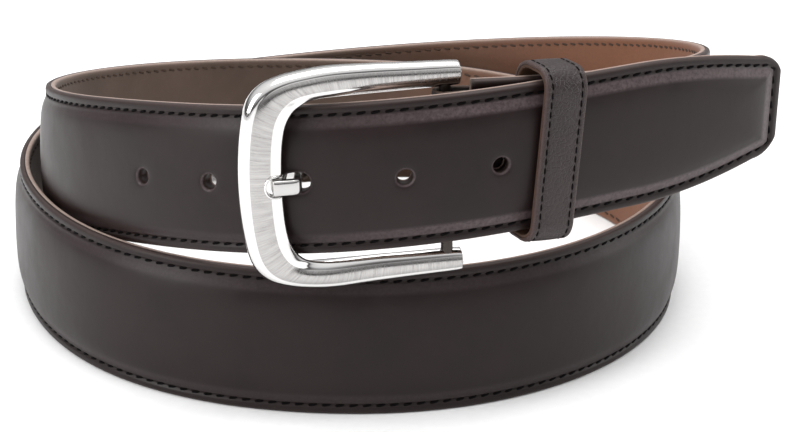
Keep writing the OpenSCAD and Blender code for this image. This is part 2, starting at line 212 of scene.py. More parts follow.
def leather(name, dark, light, edge, rough, spec, grain=2.4, pore=0.35, bump=0.5, sheen=0.0,
            depth=0.00006, highlight_tone=None, lit_side_tone=None):
    """Leather: mottled tone, pores, fine creases, rubbed and painted edges; optionally a painted highlight
    band just inside the seam, and a painted lighter, warmer side towards +X.
    """
    m, nt, b = nodes_of(name)
    mm = coords(nt, IN_MM)
    tone = add(nt, "ShaderNodeTexNoise", Scale=0.06, Detail=5.0, Roughness=0.62)
    link(nt, mm, tone.inputs["Vector"])
    fine = add(nt, "ShaderNodeTexNoise", Scale=1.3, Detail=4.0, Roughness=0.6)
    link(nt, mm, fine.inputs["Vector"])
    col = mix(nt, span(nt, tone.outputs["Fac"], 0.32, 0.68, 0.0, 1.0), dark, light)
    if lit_side_tone:                                                       # painted light: lighter and warmer towards +X, where the light falls
        place = nt.nodes.new("ShaderNodeSeparateXYZ")
        link(nt, mm, place.inputs["Vector"])
        col = mix(nt, span(nt, place.outputs["X"], -15.0, 75.0, 0.0, 0.85), col, lit_side_tone)
    speck = mix(nt, span(nt, fine.outputs["Fac"], 0.35, 0.75, 0.0, 0.28), col, dark)
    if highlight_tone:                                                     # painted highlight: a lighter band just inside the seam
        strip = nt.nodes.new("ShaderNodeAttribute")
        strip.attribute_name = "strip"
        highlight_mask = math_node(nt, "MULTIPLY", strip.outputs["Fac"],
                         span(nt, fine.outputs["Fac"], 0.3, 0.65, 0.35, 1.0), clamp=True)
        speck = mix(nt, highlight_mask, speck, highlight_tone)
    rim = nt.nodes.new("ShaderNodeAttribute")
    rim.attribute_name = "rim"
    broken = math_node(nt, "MULTIPLY", rim.outputs["Fac"],
                       span(nt, fine.outputs["Fac"], 0.3, 0.7, 0.65, 1.0), clamp=True)
    link(nt, mix(nt, broken, speck, edge), b.inputs["Base Color"])
    cell = add(nt, "ShaderNodeTexVoronoi", Scale=grain)
    cell.feature = "DISTANCE_TO_EDGE"
    warp = mix(nt, 0.12, mm, fine.outputs["Color"])
    link(nt, warp, cell.inputs["Vector"])
    pores = add(nt, "ShaderNodeTexNoise", Scale=grain * 1.9, Detail=3.0, Roughness=0.7)
    link(nt, mm, pores.inputs["Vector"])
    crease = span(nt, cell.outputs["Distance"], 0.0, 0.14, 0.0, 1.0)
    height = math_node(nt, "ADD", math_node(nt, "MULTIPLY", crease, 1 - pore),
                       math_node(nt, "MULTIPLY", pores.outputs["Fac"], pore * 1.6))
    bp = nt.nodes.new("ShaderNodeBump")
    bp.inputs["Strength"].default_value = bump
    bp.inputs["Distance"].default_value = depth
    link(nt, height, bp.inputs["Height"])
    swell = add(nt, "ShaderNodeTexNoise", Scale=0.16, Detail=2.0)
    link(nt, mm, swell.inputs["Vector"])
    bp2 = nt.nodes.new("ShaderNodeBump")
    bp2.inputs["Strength"].default_value = 0.25
    bp2.inputs["Distance"].default_value = 0.0004
    link(nt, swell.outputs["Fac"], bp2.inputs["Height"])
    link(nt, bp.outputs["Normal"], bp2.inputs["Normal"])
    link(nt, bp2.outputs["Normal"], b.inputs["Normal"])
    r = math_node(nt, "ADD", span(nt, tone.outputs["Fac"], 0.3, 0.7, rough - 0.05, rough + 0.06),
                  math_node(nt, "MULTIPLY", rim.outputs["Fac"], 0.1), clamp=True)
    link(nt, r, b.inputs["Roughness"])
    b.inputs["Specular IOR Level"].default_value = spec
    if sheen:
        b.inputs["Sheen Weight"].default_value = sheen
        b.inputs["Sheen Roughness"].default_value = 0.45
    return m


def metal(name, base, rough, brushed, uv_scale=(2.6, 0.10, 1.0), bump=0.25):
    """Nickel: polished, or brushed along one direction of the UV map, which is in millimetres."""
    m, nt, b = nodes_of(name)
    b.inputs["Metallic"].default_value = 1.0
    mm = coords(nt, IN_MM)
    cloud = add(nt, "ShaderNodeTexNoise", Scale=0.22, Detail=3.0, Roughness=0.5)
    link(nt, mm, cloud.inputs["Vector"])
    uv = coords(nt, uv_scale, "UV") if brushed else coords(nt, (900, 900, 2600))
    lines = add(nt, "ShaderNodeTexNoise", Scale=1.0, Detail=4.0, Roughness=0.7)
    link(nt, uv, lines.inputs["Vector"])
    tint = tuple(c * (0.62 if brushed else 0.9) for c in base)
    streak = mix(nt, span(nt, lines.outputs["Fac"], 0.3, 0.7, 0.0, 1.0 if brushed else 0.25), base, tint)
    link(nt, streak, b.inputs["Base Color"])
    spread = 0.09 if brushed else 0.03
    r = math_node(nt, "ADD", span(nt, cloud.outputs["Fac"], 0.3, 0.7, rough - spread / 2, rough + spread / 2),
                  span(nt, lines.outputs["Fac"], 0.3, 0.7, -spread, spread), clamp=True)
    link(nt, r, b.inputs["Roughness"])
    bp = nt.nodes.new("ShaderNodeBump")
    bp.inputs["Strength"].default_value = bump
    bp.inputs["Distance"].default_value = 0.00002
    link(nt, lines.outputs["Fac"], bp.inputs["Height"])
    link(nt, bp.outputs["Normal"], b.inputs["Normal"])
    return m


def thread_material(name, dark, light, spec):
    """Waxed twisted thread: the lay of the strands from the UV map."""
    m, nt, b = nodes_of(name)
    uv = coords(nt, (1, 1, 1), "UV")
    w = nt.nodes.new("ShaderNodeTexWave")
    w.bands_direction = "DIAGONAL"
    w.inputs["Scale"].default_value = 1.2
    w.inputs["Distortion"].default_value = 0.8
    link(nt, uv, w.inputs["Vector"])
    n = add(nt, "ShaderNodeTexNoise", Scale=3.0, Detail=3.0)
    link(nt, coords(nt, IN_MM), n.inputs["Vector"])
    link(nt, mix(nt, math_node(nt, "MULTIPLY", w.outputs["Fac"], n.outputs["Fac"]), dark, light),
         b.inputs["Base Color"])
    bp = nt.nodes.new("ShaderNodeBump")
    bp.inputs["Strength"].default_value = 0.6
    bp.inputs["Distance"].default_value = 0.00008
    link(nt, w.outputs["Fac"], bp.inputs["Height"])
    link(nt, bp.outputs["Normal"], b.inputs["Normal"])
    link(nt, span(nt, n.outputs["Fac"], 0.3, 0.7, 0.62, 0.8), b.inputs["Roughness"])
    b.inputs["Specular IOR Level"].default_value = spec
    return m


FACE = leather("face_leather", (0.0105, 0.0052, 0.0050), (0.0165, 0.0088, 0.0084), (0.050, 0.034, 0.031),
               0.42, 0.24, grain=2.6, bump=0.16, depth=0.00004, highlight_tone=(0.088, 0.064, 0.067))
KEEPER = leather("keeper_leather", (0.017, 0.0092, 0.0090), (0.034, 0.0205, 0.0205), (0.062, 0.036, 0.031),
                 0.44, 0.4, grain=1.1, bump=0.8, depth=0.00014)
LINING = leather("lining_leather", (0.075, 0.050, 0.038), (0.105, 0.072, 0.055), (0.33, 0.25, 0.215),
                 0.62, 0.22, grain=2.0, bump=0.35, sheen=0.08, lit_side_tone=(0.22, 0.085, 0.042))
KLINING = leather("keeper_lining", (0.10, 0.055, 0.035), (0.15, 0.085, 0.055), (0.06, 0.035, 0.025),
                  0.65, 0.2, grain=2.0, bump=0.4)
FOLD = leather("fold_leather", (0.010, 0.006, 0.0055), (0.020, 0.012, 0.011), (0.07, 0.042, 0.03),
               0.55, 0.3, grain=1.8, bump=0.6, depth=0.0001)
BRUSHED = metal("brushed_nickel", (0.52, 0.505, 0.495), 0.22, True, bump=0.6)
POLISHED = metal("polished_nickel", (0.72, 0.71, 0.70), 0.09, False, bump=0.05)
PRONG_METAL = metal("prong_nickel", (0.52, 0.51, 0.50), 0.13, False, bump=0.05)
# Heel bar: a dark metal, far darker than the nickel of the frame.
DARK_BAR = metal("dark_bar_metal", (0.055, 0.047, 0.043), 0.34, False, bump=0.2)
STAPLE = metal("staple_wire", (0.6, 0.6, 0.6), 0.3, False)
THREAD = thread_material("dark_thread", (0.0012, 0.0008, 0.0008), (0.0035, 0.0022, 0.002), 0.08)
BACK_THREAD = thread_material("lining_thread", (0.050, 0.031, 0.022), (0.095, 0.062, 0.045), 0.2)


# ---------------------------------------------------------------- mesh helpers
def make(name, verts, faces, mats, uv=None, rim=None, mat_index=None, smooth=True, strip=None):
    """A mesh from points in mm. uv, rim and the painted-highlight share are per vertex."""
    verts = np.asarray(verts, float)
    me = bpy.data.meshes.new(name)
    me.from_pydata((verts * MM).tolist(), [], [list(f) for f in faces])
    for m in mats:
        me.materials.append(m)
    if mat_index is not None:
        me.polygons.foreach_set("material_index", np.asarray(mat_index, np.int32))
    if uv is not None:
        layer = me.uv_layers.new(name="UVMap")
        idx = np.empty(len(me.loops), np.int32)
        me.loops.foreach_get("vertex_index", idx)
        layer.data.foreach_set("uv", np.asarray(uv, np.float32)[idx].ravel())
    for key, given in (("rim", rim), ("strip", strip)):
        values = np.zeros(len(verts)) if given is None else np.asarray(given)
        me.attributes.new(key, "FLOAT", "POINT").data.foreach_set("value", values.astype(np.float32))
    me.polygons.foreach_set("use_smooth", np.full(len(me.polygons), smooth))
    me.update()
    bm = bmesh.new()
    bm.from_mesh(me)
    bmesh.ops.recalc_face_normals(bm, faces=bm.faces)
    bm.to_mesh(me)
    bm.free()
    ob = bpy.data.objects.new(name, me)
    bpy.context.scene.collection.objects.link(ob)
    return ob


def local(points, rot, origin):
    r = np.array(rot)
    return np.asarray(points, float) @ r.T + np.asarray(origin, float)


def run_along(points):
    """Distance along a line at each of its points."""
    return np.concatenate([[0], np.cumsum(np.linalg.norm(np.diff(points, axis=0), axis=1))])


def tube_faces(first, rings, sides):
    """Faces of a closed tube whose rings of points follow each other from the point numbered first."""
    faces = []
    for q in range(rings - 1):
        for g in range(sides):
            p, p2 = first + q * sides + g, first + q * sides + (g + 1) % sides
            faces.append([p, p2, p2 + sides, p + sides])
    last = first + (rings - 1) * sides
    faces.append([first + g for g in range(sides)][::-1])
    faces.append([last + g for g in range(sides)])
    return faces


def stitch_arch(frac):
    """Height of a stitch's bow, from 0 at its ends (frac -0.5 and 0.5) to 1 at its middle."""
    return 1 - (np.abs(frac) * 2) ** 4


# ---------------------------------------------------------------- strap sections
# Height of the face leather by distance from the edge: rolled edge, seam groove, crease, padded crown.
PROFILE = np.array([
    (0, 0.50), (0.05, 0.86), (0.22, 1.18), (0.5, 1.35), (0.9, 1.41), (1.4, 1.41), (1.66, 1.35), (1.9, 1.14),
    (2.2, 1.0), (2.5, 1.14), (2.74, 1.35), (2.95, 1.41), (3.2, 1.47), (3.5, 1.57), (3.85, 1.71), (4.2, 1.86),
    (4.6, 2.02), (5.0, 2.16), (5.5, 2.31), (6.0, 2.43), (6.6, 2.55), (7.4, 2.68), (8.4, 2.79), (9.5, 2.88),
    (10.8, 2.95), (12.3, 3.01), (14.0, 3.05), (15.7, 3.07), (17.5, 3.08)])
LPROFILE = np.array([
    (0, -0.62), (0.06, -0.9), (0.25, -1.1), (0.6, -1.19), (1.3, -1.2), (1.9, -1.16), (2.2, -1.06),
    (2.5, -1.16), (3.2, -1.2), (6.0, -1.2), (10.0, -1.2), (13.8, -1.2), (17.5, -1.2)])
CREASE = 6.2             # the profile is as drawn up to here, and squeezed beyond where the tip narrows
TIP_HALF, TIP_CORNER, TIP_TAPER = 13.2, 6.4, 41.0
RIM_W = 0.75             # painted edge of the leather


def height(profile, d):
    return np.interp(d, profile[:, 0], profile[:, 1])


def squeeze(d, half):
    return np.where(d <= CREASE, d, CREASE + (d - CREASE) * (half - CREASE) / (W / 2 - CREASE))


def half_width(e):
    e = np.asarray(e, float)
    in_corner = TIP_CORNER - np.minimum(e, TIP_CORNER)
    corner = TIP_HALF - TIP_CORNER + np.sqrt(np.maximum(TIP_CORNER**2 - in_corner**2, 0))
    left = np.maximum(0, 1 - (e - TIP_CORNER) / (TIP_TAPER - TIP_CORNER))
    return np.where(e < TIP_CORNER, corner, W / 2 - (W / 2 - TIP_HALF) * left**2)


def columns(profile):
    """Signed distances across: lower half from its edge, then the upper half back to its edge."""
    d = profile[:, 0]
    return np.concatenate([d, d[::-1][1:]]), np.concatenate([-np.ones(len(d)), np.ones(len(d) - 1)])


def dent(x):
    """How far the leather is pressed in, x mm outside a punched hole's rim."""
    lip, bowl, swell = np.exp(-(x / 0.22) ** 2), np.exp(-(x / 0.8) ** 2), np.exp(-((x - 1.5) / 0.5) ** 2)
    return -0.42 * lip - 0.16 * bowl + 0.05 * swell


# Winding angles where the painted highlight band inside the seam grows from faint to full.
HIGHLIGHT_FROM, HIGHLIGHT_OVER = 712, 24


def strip_share(t, d):
    """Painted highlight: a lighter band just inside the seam, where the slope up to the crown catches the
    light; faint over most of the strap, full towards the free end.
    """
    across = np.clip((d - 2.6) / 0.35, 0, 1) * np.clip((5.2 - d) / 0.4, 0, 1)
    along = 0.2 + 0.8 * np.clip((t - HIGHLIGHT_FROM) / HIGHLIGHT_OVER, 0, 1)
    return across * along


HOLE_R = 1.8
PRONG_HOLE_AT, PRONG_HOLE_U, PRONG_HOLE_R, PRONG_HOLE_HALF = 712.1, 34.7, 2.4, 0.9
# Winding angle, whether the prong is in it, radius, half of its straight length
HOLES = [(t, False, HOLE_R, 0.0) for t in (685.8, 698.8, 726.8, 740.0)]
HOLES.append((PRONG_HOLE_AT, True, PRONG_HOLE_R, PRONG_HOLE_HALF))
HOLE_ROOM_ALONG, HOLE_ROOM_ACROSS = 2.2, 2.0
HOLE_RINGS = (0.0, 0.14, 0.34, 0.62, 1.0, 1.5)


class Shell:
    """A mesh being built: rows of points with their UV, rim and painted-highlight values, and faces."""

    def __init__(self):
        self.verts, self.uv, self.rim, self.strip, self.faces = [], [], [], [], []
        self.count = 0

    def points(self, verts, uv, rim, strip):
        """Adds points and returns their numbers."""
        size = len(verts)
        self.verts.append(verts)
        self.uv.append(uv)
        self.rim.append(np.broadcast_to(rim, size))
        self.strip.append(np.broadcast_to(strip, size))
        self.count += size
        return self.count - size + np.arange(size)

    def quads(self, *corners):
        self.faces += np.stack(corners, -1).tolist()

    def build(self, name, mats):
        ob = make(name, np.concatenate(self.verts), self.faces, mats, np.concatenate(self.uv),
                  np.concatenate(self.rim), strip=np.concatenate(self.strip))
        bm = bmesh.new()
        bm.from_mesh(ob.data)
        loose = [v for v in bm.verts if not v.link_faces]
        bmesh.ops.delete(bm, geom=loose, context="VERTS")
        bm.to_mesh(ob.data)
        bm.free()
        return ob


def hole_block(hole, ts, run_mm, a):
    """Rows and columns of a layer's grid that a punched hole and its pressed rim take up."""
    place, has_prong, r, half_long = hole
    along = np.interp(place, ts, run_mm)
    up = PRONG_HOLE_A if has_prong else W / 2
    i0 = int(np.searchsorted(run_mm, along - r - half_long - HOLE_ROOM_ALONG)) - 1
    i1 = int(np.searchsorted(run_mm, along + r + half_long + HOLE_ROOM_ALONG))
    on = np.where(np.abs(a[(i0 + i1) // 2] - up) <= r + HOLE_ROOM_ACROSS)[0]
    return i0, i1, on[0] - 1, on[-1] + 1, along, up, r, half_long


def punch(shell, block, ts, run_mm, a, profile, base, sign):
    """Fills a block of a layer's grid with rings round its hole, and gives the hole a wall."""
    i0, i1, j0, j1, along, up, r, half_long = block
    cols = a.shape[1]
    loop = ([(i, j0) for i in range(i0, i1)] + [(i1, j) for j in range(j0, j1)]
            + [(i, j1) for i in range(i1, i0, -1)] + [(i0, j) for j in range(j1, j0, -1)])
    li, lj = np.array(loop).T
    phi = np.arctan2(a[li, lj] - up, run_mm[li] - along)
    stretch = np.sign(np.cos(phi)) * half_long * np.minimum(1, np.abs(np.cos(phi)) * 3)

    def ring(x, n, rim, strip):
        s = along + (np.cos(phi) * (r + x) + stretch)
        h = up + np.sin(phi) * (r + x)
        return shell.points(at(np.interp(s, run_mm, ts), h, n(h)), np.stack([s, h], -1), rim, strip)

    # Rings just outside a hole's rim get a painted highlight on the pressed dent.
    tops = [ring(x, lambda h: height(profile, np.minimum(h, W - h)) + sign * dent(x),
                 0.5 if x == 0 else 0.0, 0.8 if 0 < x < 0.5 else 0.0) for x in HOLE_RINGS]
    low = ring(0.0, lambda h: np.full(len(h), base), 0.5, 0.0)
    nxt = np.roll(np.arange(len(loop)), -1)
    grid_top = li * cols + lj
    for chain in (tops + [grid_top], [low, grid_top + a.size]):
        for c0, c1 in zip(chain[:-1], chain[1:]):
            shell.quads(c0, c0[nxt], c1[nxt], c1)
    shell.quads(tops[0], tops[0][nxt], low[nxt], low)


def band(name, ts, es, profile, base, sign, mats, holes=()):
    """One layer of strap as a closed shell, from its interface at n = base to its profile.
    Punched holes are cut out of the grid and given a pressed rim and a wall."""
    d, s = columns(profile)
    halves = half_width(es)
    dd = squeeze(d[None, :], halves[:, None])
    a = W / 2 + s[None, :] * (halves[:, None] - dd)
    edge_d = np.minimum(d[None, :], es[:, None])
    t2 = np.broadcast_to(ts[:, None], a.shape)
    rows, cols = a.shape
    size = rows * cols
    run_mm = run_along(at(ts, W / 2, 0))
    uv = np.stack([np.broadcast_to(run_mm[:, None], a.shape), a], -1).reshape(-1, 2)
    shell = Shell()
    # Face points carry the painted edge share and the share of the painted highlight band.
    shell.points(at(t2, a, height(profile, edge_d)).reshape(-1, 3), uv,
                 np.clip(1 - edge_d / RIM_W, 0, 1).ravel(), strip_share(t2, edge_d).ravel())
    shell.points(at(t2, a, np.full_like(a, base)).reshape(-1, 3), uv, 1.0, 0.0)
    keep = np.ones((rows - 1, cols - 1), bool)
    blocks = [hole_block(hole, ts, run_mm, a) for hole in holes]
    for i0, i1, j0, j1, *_ in blocks:
        keep[i0:i1, j0:j1] = False
    ii, jj = np.where(keep)
    p = ii * cols + jj
    shell.quads(p, p + 1, p + cols + 1, p + cols)
    shell.quads(p + cols + size, p + cols + 1 + size, p + 1 + size, p + size)
    for j in (0, cols - 1):
        p = np.arange(rows - 1) * cols + j
        shell.quads(p, p + cols, p + cols + size, p + size)
    for row in (0, rows - 1):
        p = row * cols + np.arange(cols - 1)
        shell.quads(p, p + 1, p + 1 + size, p + size)
    for block in blocks:
        punch(shell, block, ts, run_mm, a, profile, base, sign)
    return shell.build(name, mats)


STITCH_RINGS, STITCH_SIDES, STITCH_SLANT, STITCH_WOBBLE = 9, 8, 0.24, 0.03
FINE = 40                # steps between two points of a seam's path


def stitches(name, path, profile_n, sign, length=2.3, mat=None, thick=0.33):
    """Single stitches along a list of [t, a] points: short bowed strands, their ends in the leather."""
    path = np.asarray(path, float)
    fine = np.concatenate([np.linspace(path[k], path[k + 1], FINE, endpoint=False)
                           for k in range(len(path) - 1)] + [path[-1:]])
    fine_t, fine_a = fine.T
    run = run_along(at(fine_t, fine_a, 0))
    count = max(1, int(run[-1] / PITCH))
    step = run[-1] / count
    frac = np.linspace(-0.5, 0.5, STITCH_RINGS)
    ang = np.arange(STITCH_SIDES) * 2 * math.pi / STITCH_SIDES
    arch = stitch_arch(frac)
    width = thick * (0.72 + 0.28 * np.sqrt(np.maximum(arch, 0)))
    verts, faces, uv = [], [], []
    for k in range(count):
        aside, rise = rng.normal(0, STITCH_WOBBLE, 2)
        s = (k + 0.5) * step + frac * length * step / PITCH
        tt = np.interp(s, run, fine_t)
        aa = np.interp(s, run, fine_a)
        ds, da = (tt[-1] - tt[0]) * MM_PER_DEG, aa[-1] - aa[0]
        reach = math.hypot(ds, da) or 1.0
        ps, pa = -da / reach, ds / reach                           # across the row
        off = frac * 2 * STITCH_SLANT + aside
        n_mid = profile_n + sign * (-0.22 + 0.30 * arch + rise * 0.5)
        faces += tube_faces(k * STITCH_RINGS * STITCH_SIDES, STITCH_RINGS, STITCH_SIDES)
        for q in range(STITCH_RINGS):
            cs, sn = np.cos(ang) * width[q], np.sin(ang) * width[q] * 0.85
            tq = tt[q] + (ps * (off[q] + cs)) / MM_PER_DEG
            aq = aa[q] + pa * (off[q] + cs)
            verts.append(at(tq, aq, n_mid[q] + sign * sn))
            uv.append(np.stack([np.full(STITCH_SIDES, s[q] * 2.0), ang], -1))
    return make(name, np.concatenate(verts), faces, [mat or THREAD], np.concatenate(uv))


# ---------------------------------------------------------------- the buckle's own frame
# u towards the nose, n outward, a up
BAR_AT, BAR_OFF, BAR_Z, YAW, DIP = 13.5, -0.9, 60.9, 12.2, 2.0
BAR_LEAN = float(curve(RING_LEAN, BAR_AT))
BAR_MID = at(BAR_AT, W / 2, BAR_OFF)
BAR_MID = np.array([BAR_MID[0], BAR_MID[1], BAR_Z])
BUCKLE_ROT = (Matrix.Rotation(math.radians(YAW), 3, "Z") @ Matrix.Rotation(math.radians(-DIP), 3, "Y")
              @ Matrix.Rotation(math.radians(BAR_LEAN), 3, "X"))


def in_buckle(u, n, a):
    u, n, a = np.broadcast_arrays(np.asarray(u, float), np.asarray(n, float), np.asarray(a, float))
    return local(np.stack([-u, -n, a], -1), BUCKLE_ROT, BAR_MID)


PRONG_HOLE_A = W / 2 + float(in_buckle(PRONG_HOLE_U, 0, 0)[2] - at(PRONG_HOLE_AT, W / 2, 0)[2])

# ---------------------------------------------------------------- strap
MAIN_ROWS = 800
LINING_BASE = -0.02      # keeps the lining off the face leather
SEAM_N, LINING_SEAM_N, LINING_SEAM_FROM = 1.04, -1.06, 38.0
SEAM_LEAD = 0.8
main_ts = np.linspace(STRAP_FROM, SPLIT, MAIN_ROWS)
far = np.full(MAIN_ROWS, 100.0)    # away from the squared end
strap_leather = band("strap_leather", main_ts, far, PROFILE, 0.0, 1, [FACE], HOLES)
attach(strap_leather, "strap")
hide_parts("strap_face_leather", "strap_padding")
strap_back = band("strap_lining_leather", main_ts, far, LPROFILE, LINING_BASE, -1, [LINING], HOLES)
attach(strap_back, "strap")
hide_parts("strap_lining")

BEND_AT, BEND_TO_AT, BEND_N = 753.0, 760.2, 1.2
tip_len = (TIP_END - SPLIT) * MM_PER_DEG
tip_es = np.concatenate([np.linspace(tip_len, 9.4, 40), PROFILE[::-1, 0][6:]])
tip_es = np.unique(tip_es)[::-1]
tip_ts = TIP_END - tip_es / MM_PER_DEG
tip_leather = band("tip_leather", tip_ts, tip_es, PROFILE, 0.0, 1, [FACE])
tip_back = band("tip_lining_leather", tip_ts, tip_es, LPROFILE, LINING_BASE, -1, [LINING])
BEND_FROM = at(BEND_AT, W / 2, BEND_N) * MM
BEND_TO = at(BEND_TO_AT, W / 2, BEND_N) * MM


def bends(ob, *cad):
    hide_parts(*cad)
    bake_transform(ob)


bends(tip_leather, "tip_face_leather", "tip_padding")
bends(tip_back, "tip_lining")

for name, cad_name, a, n, sign, start in (
        ("upper_stitches", "upper_face_thread", W - SEAM_D, SEAM_N, 1, STRAP_FROM + SEAM_LEAD),
        ("lower_stitches", "lower_face_thread", SEAM_D, SEAM_N, 1, STRAP_FROM + SEAM_LEAD),
        ("upper_lining_stitches", "upper_lining_thread", W - SEAM_D, LINING_SEAM_N, -1, LINING_SEAM_FROM),
        ("lower_lining_stitches", "lower_lining_thread", SEAM_D, LINING_SEAM_N, -1, LINING_SEAM_FROM)):
    row = stitches(name, np.stack([np.linspace(start, SPLIT, 60), np.full(60, a)], -1), n, sign,
                   mat=THREAD if sign > 0 else BACK_THREAD)
    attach(row, "strap")
    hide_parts(cad_name)

SEAM_TURN, SEAM_CUT = 4.6, 0.55    # where the tip's seam starts to turn its corner, and how sharply


def tip_seam(e):
    """A place on the lower row of the tip's seam, e mm from the squared end."""
    up = W / 2 - float(half_width(max(e, SEAM_TURN))) + SEAM_D
    return TIP_END - e / MM_PER_DEG, up + max(0, SEAM_TURN - e) * SEAM_CUT


low_side = [tip_seam(e) for e in np.concatenate([np.linspace(tip_len, 6.0, 24), [5.0, 4.2, 3.5]])]
end_a = W / 2 - low_side[-1][1] - 1.0
seam_end = [(TIP_END - SEAM_D / MM_PER_DEG, W / 2 + k * end_a / 3) for k in (-3, -2, -1, 0, 1, 2, 3)]
seam_path = low_side + seam_end + [(t, W - a) for t, a in low_side[::-1]]
for name, cad_name, n, sign in (("tip_stitches", "tip_face_thread", SEAM_N, 1),
                                ("tip_lining_stitches", "tip_lining_thread", LINING_SEAM_N, -1)):
    row = stitches(name, seam_path, n, sign, mat=THREAD if sign > 0 else BACK_THREAD)
    bends(row, cad_name)

# ---------------------------------------------------------------- fold round the heel bar
FOLD_T, FOLD_R, FOLD_LO, FOLD_HI, FOLD_END = 1.15, 1.85, 2.0, 32.6, 36.2
FOLD_N = -1.25           # just behind the lining
HALF_SLOT = 2.35
RAGGED = 0.10            # unevenness of the upper cut edge
base_z = float(at(BAR_AT, 0, 0)[2])
slot_mid = W / 2 - (at(BAR_AT, W / 2, 0)[2] - BAR_Z)


def fold_rows(a_values):
    """Rows of outer and inner points across the turned strap end, for heights given on the strap."""
    outer, inner, slot_here = [], [], []

    def strap_row(t, n, up):
        outer.append(at(t, a_values, n + up * FOLD_T))
        inner.append(at(t, a_values, n))
        slot_here.append(False)

    strap_row(STRAP_FROM - 0.15, 0.06, 1)
    strap_row(STRAP_FROM - 0.9, 0.12, 1)
    for w in np.radians(np.arange(90, -91, -7.5)):
        c, s = math.cos(w), math.sin(w)
        h = a_values + base_z - BAR_Z
        outer.append(in_buckle(c * (FOLD_R + FOLD_T), s * (FOLD_R + FOLD_T), h))
        inner.append(in_buckle(c * FOLD_R, s * FOLD_R, h))
        slot_here.append(True)
    for t, n in ((STRAP_FROM - 1.2, -2.25), (STRAP_FROM + 0.6, -2.05), (19.3, -1.75), (20.6, -1.45),
                 (21.8, -1.3)):
        strap_row(t, n, -1)
    for t in np.linspace(22.8, FOLD_END, 22):
        strap_row(t, FOLD_N, -1)
    return np.array(outer), np.array(inner), slot_here


def fold_faces(rows, cols, cut, slot_here):
    """Outer skin, inner skin and edges, with the prong's slot left out after column cut."""
    nv = rows * cols
    faces = []

    def edge(p, step):
        faces.append([p, p + step, p + step + nv, p + nv])

    for i in range(rows - 1):
        in_slot = slot_here[i] and slot_here[i + 1]
        for j in range(cols - 1):
            p = i * cols + j
            if not (j == cut and in_slot):
                faces.append([p, p + 1, p + cols + 1, p + cols])
                faces.append([p + nv, p + cols + nv, p + cols + 1 + nv, p + 1 + nv])
        for j in [0, cols - 1] + ([cut, cut + 1] if in_slot else []):
            edge(i * cols + j, cols)
    for i in (0, rows - 1):
        for j in range(cols - 1):
            edge(i * cols + j, 1)
    slot_rows = [i for i in range(rows) if slot_here[i]]
    for i in (slot_rows[0], slot_rows[-1]):
        edge(i * cols + cut, 1)
    return faces


lo_cols = np.array([FOLD_LO, FOLD_LO + 0.12, FOLD_LO + 0.4, 4, 6, 8, 10,
                    slot_mid - HALF_SLOT - 0.3, slot_mid - HALF_SLOT])
hi_cols = np.array([slot_mid + HALF_SLOT, slot_mid + HALF_SLOT + 0.3, 19, 22, 25, 28, 31,
                    FOLD_HI - 0.4, FOLD_HI - 0.12, FOLD_HI])
a_cols = np.concatenate([lo_cols, hi_cols])
outer_skin, inner_skin, slot_here = fold_rows(a_cols)
rows, cols = outer_skin.shape[:2]
pinch = np.zeros((1, cols, 1))                                     # rounded long edges
pinch[0, :3, 0] = (0.38, 0.16, 0.03)
pinch[0, -3:, 0] = (0.03, 0.16, 0.38)
skins = np.stack([outer_skin * (1 - pinch) + inner_skin * pinch,
                  inner_skin * (1 - pinch) + outer_skin * pinch])
ragged = rng.normal(0, RAGGED, (rows, 2))
skins[:, :, -1, 2] += ragged[:, 0]
rim = np.zeros((2, rows, cols))
rim[:, :, :2] = 1
rim[:, :, -2:] = 1
rim[:, -1, :] = 1
fold_uv = np.zeros((2, rows, cols, 2))
fold_uv[..., 0] = np.arange(rows)[None, :, None] * 1.1
fold_uv[..., 1] = a_cols[None, None, :]
fold = make("fold_leather", skins.reshape(-1, 3), fold_faces(rows, cols, len(lo_cols) - 1, slot_here), [FOLD],
            fold_uv.reshape(-1, 2), rim.ravel())
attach(fold, "strap")
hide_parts("fold_tab")
fold_row = stitches("fold_stitches", [(FOLD_END - 1.6, FOLD_LO + 2), (FOLD_END - 1.6, FOLD_HI - 2)],
                    FOLD_N - FOLD_T + 0.02, -1, length=2.0)
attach(fold_row, "strap")
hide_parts("fold_seam_thread")

# ---------------------------------------------------------------- buckle frame
OUTER = np.array([(48, 0), (47.8, 6), (47.2, 12), (46.2, 17.2), (44.6, 20.7), (42, 23.2), (38.5, 24.7),
                  (34, 25.7), (27, 26.4), (18, 26.2), (8, 25.8), (-2.2, 25.4), (-3.4, 24.8)])
INNER = np.array([(38.1, 0), (38, 5), (37.7, 9.5), (37.1, 13), (36, 15.6), (34.5, 17.5), (32.3, 18.8),
                  (29.3, 19.35), (25, 19.45), (17, 19.5), (8, 19.6), (-2.2, 19.8), (-3.4, 20.4)])
# Across the band: share from outer to inner edge, share of the thickness, 1 where it is polished.
CUT = np.array([
    (0.50, 0.0, 1), (0.12, 0.0, 1), (0.035, 0.05, 1), (0.004, 0.16, 1), (0, 0.3, 1), (0.004, 0.46, 1),
    (0.03, 0.62, 1), (0.075, 0.745, 1), (0.13, 0.835, 1), (0.19, 0.885, 1), (0.215, 0.882, 1),
    (0.24, 0.905, 0), (0.30, 0.955, 0), (0.38, 0.99, 0), (0.47, 1.0, 0), (0.56, 0.992, 0),
    (0.65, 0.96, 0), (0.72, 0.915, 0), (0.745, 0.90, 1), (0.80, 0.885, 1), (0.86, 0.84, 1),
    (0.91, 0.76, 1), (0.95, 0.68, 1), (0.98, 0.54, 1), (0.996, 0.38, 1), (1.0, 0.26, 1),
    (0.996, 0.14, 1), (0.965, 0.04, 1), (0.9, 0.0, 1)])


def mirrored(l):
    return np.concatenate([l[:0:-1], l * np.array([1, -1])])


